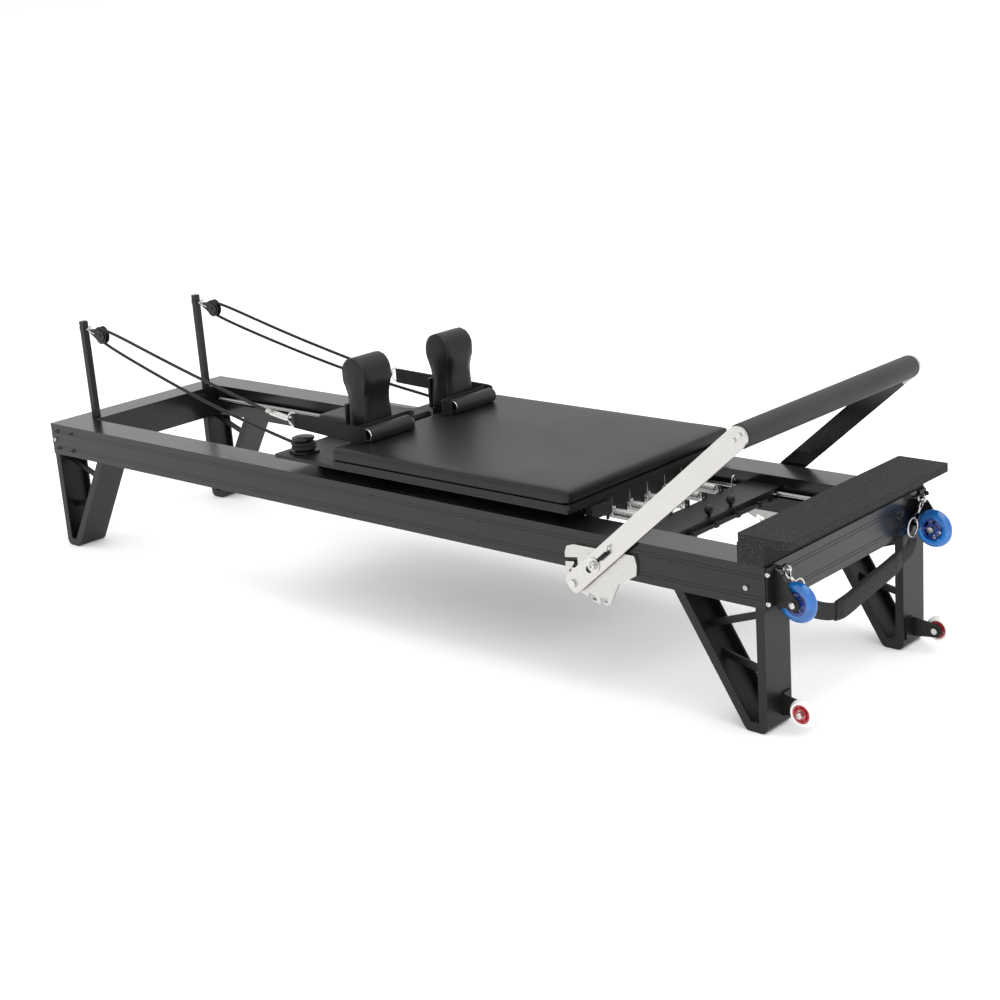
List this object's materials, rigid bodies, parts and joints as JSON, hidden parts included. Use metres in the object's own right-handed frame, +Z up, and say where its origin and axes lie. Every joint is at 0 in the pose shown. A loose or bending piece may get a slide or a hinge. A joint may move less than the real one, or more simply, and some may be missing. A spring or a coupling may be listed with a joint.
{
  "type": "pilates reformer",
  "caption": "Pilates reformer with an aluminium frame on V legs, a rolling padded carriage with springs, rope pulleys on risers and a folding footbar.",
  "frame": {"origin": "middle of the bounding box, on the floor", "axes": "+X to the foot end, +Y to the right seen from the foot end looking at the head, +Z up"},
  "size_m": [2.448, 0.6644, 0.6329],
  "materials": {
    "black_anodised": "satin anodised",
    "black_powder": "satin powder coat",
    "stainless": "brushed",
    "bright_steel": "polished",
    "rod_steel": "ground",
    "spring_steel": "zinc plated",
    "black_vinyl": "fine grain",
    "black_board": "black plywood",
    "grip_top": "speckled non-slip",
    "foam_rubber": "matte foam",
    "black_rubber": "matte",
    "webbing": "woven",
    "rope_black": "braided",
    "blue_urethane": "translucent",
    "white_urethane": "gloss",
    "black_nylon": "moulded"
  },
  "bodies": {
    "frame": {"axle_bolts": "bright_steel", "carry_strap": "webbing", "corner_keys": "black_anodised", "crossbar_foot": "black_anodised", "crossbar_head": "black_anodised", "eye_bolts": "bright_steel", "footbar_plates": "stainless", "frame_screws": "black_powder", "leg_braces": "black_powder", "leg_foot_left": "black_powder", "leg_foot_right": "black_powder", "leg_head_left": "black_powder", "leg_head_right": "black_powder", "rail_left": "black_anodised", "rail_right": "black_anodised", "riser_posts": "black_powder", "rope_left": "rope_black", "rope_right": "rope_black", "spring_bar": "black_powder", "springs": "spring_steel", "standing_platform": "grip_top", "stop_bumpers": "black_rubber", "strap_fittings": "bright_steel", "track_rods": "rod_steel", "wheel_brackets": "black_powder"},
    "carriage": {"carriage_plate": "black_board", "pad_board": "black_board", "carriage_pad": "black_vinyl", "carriage_beams": "black_powder", "roller_axles": "bright_steel", "carriage_brackets": "black_powder", "rope_cleats": "black_nylon", "loop_hardware": "bright_steel", "hand_straps": "webbing", "hand_grips": "foam_rubber"},
    "load_wheels_head": {"load_wheels_head": "black_nylon"},
    "load_wheels_foot": {"load_wheels_foot": "black_nylon"},
    "transport_wheel_left": {"transport_wheel_left": "blue_urethane"},
    "transport_wheel_right": {"transport_wheel_right": "blue_urethane"},
    "glide_wheel_left": {"glide_wheel_left": "white_urethane"},
    "glide_wheel_right": {"glide_wheel_right": "white_urethane"},
    "footbar_swivel": {"pivot_bushes": "black_nylon"},
    "footbar": {"footbar_arm_left": "stainless", "footbar_arm_right": "stainless", "footbar_tube": "rod_steel", "footbar_foam": "foam_rubber", "footbar_bolts": "bright_steel", "arm_springs": "spring_steel"},
    "pulley_left": {"pulley_block_left": "bright_steel"},
    "pulley_right": {"pulley_block_right": "bright_steel"},
    "sheave_left": {"sheave_left": "black_nylon"},
    "sheave_right": {"sheave_right": "black_nylon"},
    "shoulder_left": {"shoulder_rest_left": "black_vinyl", "shoulder_bracket_left": "black_powder"},
    "shoulder_right": {"shoulder_rest_right": "black_vinyl", "shoulder_bracket_right": "black_powder"},
    "headrest": {"headrest_pad": "black_vinyl", "headrest_board": "black_board"},
    "pull_knob_left": {"pull_knob_left": "black_nylon"},
    "pull_knob_right": {"pull_knob_right": "black_nylon"}
  },
  "joints": [
    {"name": "carriage_slide", "type": "slide", "parent": "frame", "child": "carriage", "axis": [1, 0, 0], "range_m": [-0.8, 0], "stiffness_N_per_m": 600, "springref_m": 0.03, "deforming": ["springs", "rope_left", "rope_right"]},
    {"name": "load_wheels_head_spin", "type": "hinge", "parent": "carriage", "child": "load_wheels_head", "pos_m": [-0.023, 0, 0.344], "axis": [0, 1, 0], "range_deg": [-2200, 30]},
    {"name": "load_wheels_foot_spin", "type": "hinge", "parent": "carriage", "child": "load_wheels_foot", "pos_m": [0.572, 0, 0.344], "axis": [0, 1, 0], "range_deg": [-2200, 30]},
    {"name": "transport_wheel_left_spin", "type": "hinge", "parent": "frame", "child": "transport_wheel_left", "pos_m": [1.182, -0.26, 0.276], "axis": [0, 1, 0], "continuous": true},
    {"name": "transport_wheel_right_spin", "type": "hinge", "parent": "frame", "child": "transport_wheel_right", "pos_m": [1.182, 0.26, 0.276], "axis": [0, 1, 0], "continuous": true},
    {"name": "glide_wheel_left_spin", "type": "hinge", "parent": "frame", "child": "glide_wheel_left", "pos_m": [1.19, -0.265, 0.048], "axis": [0, 1, 0], "continuous": true},
    {"name": "glide_wheel_right_spin", "type": "hinge", "parent": "frame", "child": "glide_wheel_right", "pos_m": [1.19, 0.265, 0.048], "axis": [0, 1, 0], "continuous": true},
    {"name": "footbar_swing", "type": "hinge", "parent": "frame", "child": "footbar_swivel", "pos_m": [0.725, 0, 0.289], "axis": [0, -1, 0], "range_deg": [-22, 118]},
    {"name": "footbar_lift", "type": "slide", "parent": "footbar_swivel", "child": "footbar", "axis": [0.757, 0, 0.6534], "range_m": [0, 0.018], "stiffness_N_per_m": 1500, "springref_m": -0.03, "deforming": ["arm_springs"]},
    {"name": "pulley_left_swivel", "type": "hinge", "parent": "frame", "child": "pulley_left", "pos_m": [-1.1295, -0.195, 0.6], "axis": [0, 1, 0], "range_deg": [-15, 15]},
    {"name": "sheave_left_spin", "type": "hinge", "parent": "pulley_left", "child": "sheave_left", "pos_m": [-1.07854, -0.195, 0.58963], "axis": [0, 1, 0], "continuous": true},
    {"name": "shoulder_left_lift", "type": "slide", "parent": "carriage", "child": "shoulder_left", "axis": [0, 0, 1], "range_m": [0, 0.032]},
    {"name": "pull_knob_left_pull", "type": "slide", "parent": "frame", "child": "pull_knob_left", "axis": [0, 0, 1], "range_m": [0, 0.008], "stiffness_N_per_m": 400, "springref_m": -0.01},
    {"name": "pulley_right_swivel", "type": "hinge", "parent": "frame", "child": "pulley_right", "pos_m": [-1.1295, 0.195, 0.6], "axis": [0, 1, 0], "range_deg": [-15, 15]},
    {"name": "sheave_right_spin", "type": "hinge", "parent": "pulley_right", "child": "sheave_right", "pos_m": [-1.07854, 0.195, 0.58963], "axis": [0, 1, 0], "continuous": true},
    {"name": "shoulder_right_lift", "type": "slide", "parent": "carriage", "child": "shoulder_right", "axis": [0, 0, 1], "range_m": [0, 0.032]},
    {"name": "pull_knob_right_pull", "type": "slide", "parent": "frame", "child": "pull_knob_right", "axis": [0, 0, 1], "range_m": [0, 0.008], "stiffness_N_per_m": 400, "springref_m": -0.01},
    {"name": "headrest_tilt", "type": "hinge", "parent": "carriage", "child": "headrest", "pos_m": [-0.123, 0, 0.392], "axis": [0, 1, 0], "range_deg": [0, 30]}
  ],
  "couplings": [
    {"joint": "load_wheels_head_spin", "follows": "carriage_slide", "rad_per_m": 45.455},
    {"joint": "load_wheels_foot_spin", "follows": "carriage_slide", "rad_per_m": 45.455}
  ]
}
